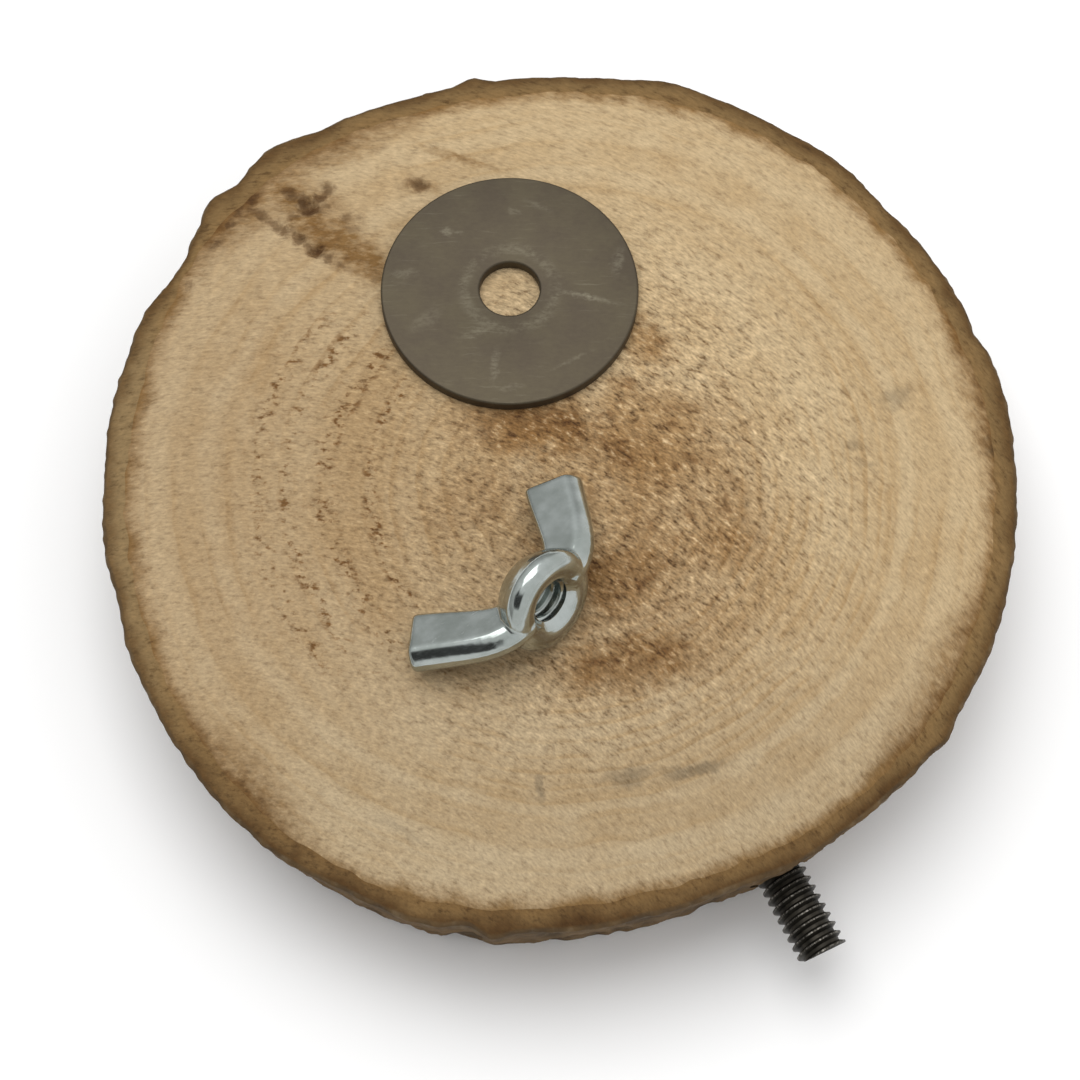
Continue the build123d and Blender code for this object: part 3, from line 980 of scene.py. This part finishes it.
def black_oxide():
    material, place, shader = new_finish("black_oxide")
    grime = place.noise(1.1, 3.0, 1.0)
    scuff = place.noise((0.5, 0.25, 0.25), 2.0, 2.0)
    worn = place.attribute("crest").ease(0.75, 1.0) * scuff.ease(0.4, 0.65)
    tone = grime.ease(0.3, 0.7).tint(OXIDE_DARK, OXIDE)
    tone = (worn * 0.8).tint(tone, OXIDE_WORN)
    bump = scuff.bump(0.25, 0.05)
    feed(shader, Base_Color=tone, Metallic=0.85, Roughness=0.5 - 0.16 * worn, Normal=bump)
    return material


add_piece("hanger_bolt_thread", hanger_bolt(), "hanger_bolt", black_oxide(), math.radians(25))

# %% [markdown]
# ## The washer
#
# A punched washer has one rolled edge and one sharp one. A rectangle is spun into a ring and its four rims
# are bevelled: widely on top, where the punch entered, and hardly at all below.

# %% Punched ring
washer_low, washer_high = (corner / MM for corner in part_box("washer"))
WASHER_MIDDLE = (washer_low + washer_high) / 2
WASHER_RADIUS = (washer_high.x - washer_low.x) / 2
WASHER_HOLE = mount("washer_hole")["dims"]["r_mm"]
WASHER_STEPS = 160
ROLLED_EDGE = 0.32
SHARP_EDGE = 0.07


def punched_washer():
    bm = bmesh.new()
    thick = washer_high.z - washer_low.z
    corners = [(WASHER_HOLE, 0), (WASHER_RADIUS, 0), (WASHER_RADIUS, thick), (WASHER_HOLE, thick)]
    verts = [bm.verts.new((radius, 0, height)) for radius, height in corners]
    edges = [bm.edges.new(pair) for pair in zip(verts, verts[1:] + verts[:1])]
    spin_round(bm, verts + edges, WASHER_STEPS)
    face_outward(bm)
    for level, offset in ((thick, ROLLED_EDGE), (0, SHARP_EDGE)):
        rims = [edge for edge in bm.edges if all(abs(vert.co.z - level) < WELD for vert in edge.verts)]
        rims = [edge for edge in rims if abs(edge.verts[0].co.length - edge.verts[1].co.length) < WELD]
        bevel_edges(bm, rims, offset)
    bmesh.ops.translate(bm, verts=bm.verts[:], vec=(WASHER_MIDDLE.x, WASHER_MIDDLE.y, washer_low.z))
    return bm


# %% Dull steel
STEEL = colour(0.1, 0.083, 0.055)
STEEL_DARK = colour(0.077, 0.062, 0.044)
STEEL_RUBBED = colour(0.165, 0.148, 0.108)
# Rubbed spots on the plan, as for the wood.
RUBBED_MARKS = [
    (4, 24.4, 4.8, 0.45, -14, 0.6), (4.6, 24.2, 1.0, 0.4, -14, 0.9), (-14.5, 34.2, 0.9, 0.7, 0, 0.6),
    (-13, 34, 0.8, 0.4, 0, 0.4), (-20, 27.8, 2.0, 0.7, 5, 0.35), (-5.5, 37.3, 0.9, 0.5, -20, 0.4),
    (-2.3, 38.2, 2.2, 0.5, -25, 0.35), (8.2, 29.6, 2.4, 0.9, 80, 0.45), (-8, 14.2, 2.8, 0.6, 85, 0.4),
    (-10, 19.2, 3.0, 0.7, 15, 0.4), (-2.5, 20.6, 2.6, 0.5, 25, 0.4), (-17, 21, 2.6, 1.2, 40, 0.25),
    (2, 15, 3.5, 0.3, 28, 0.3), (-6, 11, 2.0, 0.5, 10, 0.3),
]


def dull_steel():
    material, place, shader = new_finish("dull_steel")
    far = from_middle(place, WASHER_MIDDLE.x, WASHER_MIDDLE.y)
    plan = on_plan(place)
    cloud = plan.noise(7.0, 4.0, 1.0, 0.6)
    mill = plan.noise((0.9, 0.45, 1.0), 3.0, 2.0, 0.7)
    streaks = wander(plan, 6.0, 1.5).noise((6.0, 0.3, 3.0), 3.0, 3.0, 0.6) + (cloud - 0.5) * 0.4
    rubbed = marks(wander(plan, 1.0, 1.6), RUBBED_MARKS) * mill.ease(0.3, 0.65)
    worn_ring = far.ease(4.8, 5.8) * far.ease(7.4, 6.0) * (mill + cloud).ease(0.85, 1.25) * 0.4
    tone = (cloud.ease(0.3, 0.7) + (mill - 0.5) * 1.2).tint(STEEL_DARK, STEEL)
    lines = rubbed.math("MAXIMUM", rubbed, worn_ring) + streaks.ease(0.58, 0.8) * 0.35
    tone = lines.tint(tone, STEEL_RUBBED)
    roughness = 0.56 - 0.1 * lines + 0.16 * (cloud - 0.5)
    feed(shader, Base_Color=tone, Metallic=0.9, Roughness=roughness, Normal=mill.bump(0.3, 0.05))
    return material


add_piece("punched_washer", punched_washer(), "washer", dull_steel(), math.radians(35))

# %% [markdown]
# ## The wing nut
#
# A forged wing nut is one lump: a round hub with two square-ended wings that grow out of it through small
# hollows. The hub is a spun outline, and a wing is one section drawn along a Bezier curve. These closed shapes
# are melted into one by a voxel remesh, and a few rounds of smoothing leave the soft hollows and edges of a
# forging. The thread is cut last, by a rod with the same helix as the stud, and a cone at each end.

# %% How the nut lies
nut_thread = mount("wing_nut_thread")
thread_place = Vector(nut_thread["pos_m"]) / MM
NUT_UP = -Vector(nut_thread["axis"]).normalized()
NUT_OUT = NUT_UP.cross(Vector((0, 0, 1))).normalized()
NUT_FACE = NUT_UP.cross(NUT_OUT)
base_shift = min((Vector(point) - thread_place).dot(NUT_UP) for point in points_of("wing_nut"))
NUT_BASE = thread_place + NUT_UP * base_shift
NUT_FRAME = Matrix.Translation(NUT_BASE) @ Matrix((NUT_OUT, NUT_FACE, NUT_UP)).transposed().to_4x4()
nut_lean = math.degrees(math.acos(-NUT_UP.z))
print("nut's base is at", [round(x, 2) for x in NUT_BASE], "and its axis leans", round(nut_lean, 1), "degrees")

# %% Hub
# The hub's half outline as (radius, height), from the middle of its base to the middle of its top.
HUB_PROFILE = [
    (0, 0.35), (3.4, 0.35), (4.1, 0.12), (4.9, 0.02), (5.7, 0.2), (6.3, 0.65), (6.7, 1.3), (6.75, 2.1), (6.3, 3.3),
    (5.4, 4.6), (4.6, 5.6), (3.6, 6.2), (0, 6.2),
]
HUB_STEPS = 96
# A wing bends along one Bezier curve, as (out, up): its start in the hub, two handles, and its tip.
WING_CURVE = [Vector((2.5, 2.2)), Vector((8.0, 2.75)), Vector((8.86, 6.15)), Vector((13.8, 12.45))]
# Its width at both ends. It grows fast at first.
WING_WIDTHS = (4.2, 7.3)
WING_STEPS = 14
# Where the corners of its section lie across its middle plane, by (side, face) as in wing_corner.
WING_FLATS = {(-1, -1): -2.4, (1, -1): -2.1, (1, 1): 1.7, (-1, 1): 2.1}
WING_EDGE = 0.6
WING_BASE_ROUND = 1.9
CREASE = math.radians(50)
VOXEL = 0.15
MELT_ROUNDS = 6
BORE_CLEARANCE = 0.1
COUNTERSINK = 3.9
COUNTERSINK_DEPTH = 1.2
# How far a cutting tool reaches past the hub.
OVERSHOOT = 1.0


def hub():
    bm = bmesh.new()
    verts = [bm.verts.new((radius, 0, height)) for radius, height in HUB_PROFILE]
    edges = [bm.edges.new(pair) for pair in zip(verts, verts[1:])]
    spin_round(bm, verts + edges, HUB_STEPS)
    bmesh.ops.remove_doubles(bm, verts=bm.verts[:], dist=WELD)
    face_outward(bm)
    return bm


# %% Wings
wing_line = geometry.interpolate_bezier(*WING_CURVE, WING_STEPS)


def wing_corner(station, side, face):
    """A corner of a wing's section: side -1 or 1 is the base or the far edge, face -1 or 1 the two flats."""
    width = WING_WIDTHS[0] + (WING_WIDTHS[1] - WING_WIDTHS[0]) * (station / (WING_STEPS - 1)) ** 0.5
    run = (wing_line[min(station + 1, WING_STEPS - 1)] - wing_line[max(station - 1, 0)]).normalized()
    out, up = wing_line[station] + Vector((-run.y, run.x)) * side * width / 2
    return Vector((out, WING_FLATS[side, face], up))


def base_edges(bm):
    """The long edges of a wing on its base side."""
    spots = [wing_corner(station, -1, face) for station in range(WING_STEPS) for face in (-1, 1)]
    corners = {vert for vert in bm.verts if min((vert.co - spot).length for spot in spots) < WELD}
    along = [edge for edge in bm.edges if set(edge.verts) <= corners]
    return {edge for edge in along if edge.verts[0].co.y * edge.verts[1].co.y > 0}


def creases(bm):
    return [edge for edge in bm.edges if edge.calc_face_angle(0) > CREASE]


def wings():
    bm = bmesh.new()
    order = list(WING_FLATS)
    end = bm.faces.new([bm.verts.new(wing_corner(0, *corner)) for corner in order])
    for station in range(1, WING_STEPS):
        end = bmesh.ops.extrude_discrete_faces(bm, faces=[end])["faces"][0]
        for vert, corner in zip(end.verts, order):
            vert.co = wing_corner(station, *corner)
    bmesh.ops.holes_fill(bm, edges=open_edges(bm))
    face_outward(bm)
    base = base_edges(bm)
    bevel_edges(bm, [edge for edge in creases(bm) if edge in base], WING_BASE_ROUND, 8, 0.38)
    bevel_edges(bm, creases(bm), WING_EDGE)
    bmesh.ops.mirror(bm, geom=everything(bm), axis="X", merge_dist=0.0001)
    face_outward(bm)
    return bm


# %% The threaded hole, and the whole nut
def nut_tools():
    """The shapes of the threaded hole: the stud's thread with clearance, and a countersink at each end."""
    height = HUB_PROFILE[-1][1]
    groove, land = STUD_RADIUS + BORE_CLEARANCE, STUD_ROOT + BORE_CLEARANCE
    tools = [
        threaded_rod(-OVERSHOOT, height + OVERSHOOT, groove, land, STUD_PITCH, STUD_CREST),
        rod_between(-OVERSHOOT, COUNTERSINK_DEPTH, COUNTERSINK + OVERSHOOT, COUNTERSINK - COUNTERSINK_DEPTH),
        rod_between(height - OVERSHOOT, height + OVERSHOOT, STUD_ROOT, STUD_RADIUS + OVERSHOOT),
    ]
    upright = Matrix.Rotation(-math.pi / 2, 3, "Y")
    for tool in tools:
        bmesh.ops.rotate(tool, verts=tool.verts[:], cent=(0, 0, 0), matrix=upright)
    return tools


def wing_nut():
    bm = with_modifier(joined(hub(), wings()), "REMESH", mode="VOXEL", voxel_size=VOXEL)
    for _ in range(MELT_ROUNDS):
        bmesh.ops.smooth_vert(
            bm, verts=bm.verts[:], factor=0.5, use_axis_x=True, use_axis_y=True, use_axis_z=True
        )
    for tool in nut_tools():
        bm = carved(bm, tool)
    bmesh.ops.transform(bm, matrix=NUT_FRAME, verts=bm.verts[:])
    return bm


# %% Bright zinc
ZINC = colour(0.46, 0.5, 0.485)
ZINC_DULL = colour(0.34, 0.375, 0.355)


def bright_zinc():
    material, place, shader = new_finish("bright_zinc")
    cloud = place.noise(3.0, 3.0, 1.0)
    scuff = place.noise((0.4, 2.2, 1.2), 3.0, 2.0, 0.65)
    ripple = place.noise(1.7, 2.0, 3.0)
    tone = cloud.ease(0.35, 0.7).tint(ZINC_DULL, ZINC)
    roughness = 0.09 + 0.09 * (1 - cloud) + 0.16 * scuff.ease(0.5, 0.75)
    bump = (ripple * 0.7 + scuff * 0.14).bump(0.25, 0.12)
    feed(shader, Base_Color=tone, Metallic=0.95, Roughness=roughness, Normal=bump)
    return material


add_piece("forged_wing_nut", wing_nut(), "wing_nut", bright_zinc(), math.radians(40))
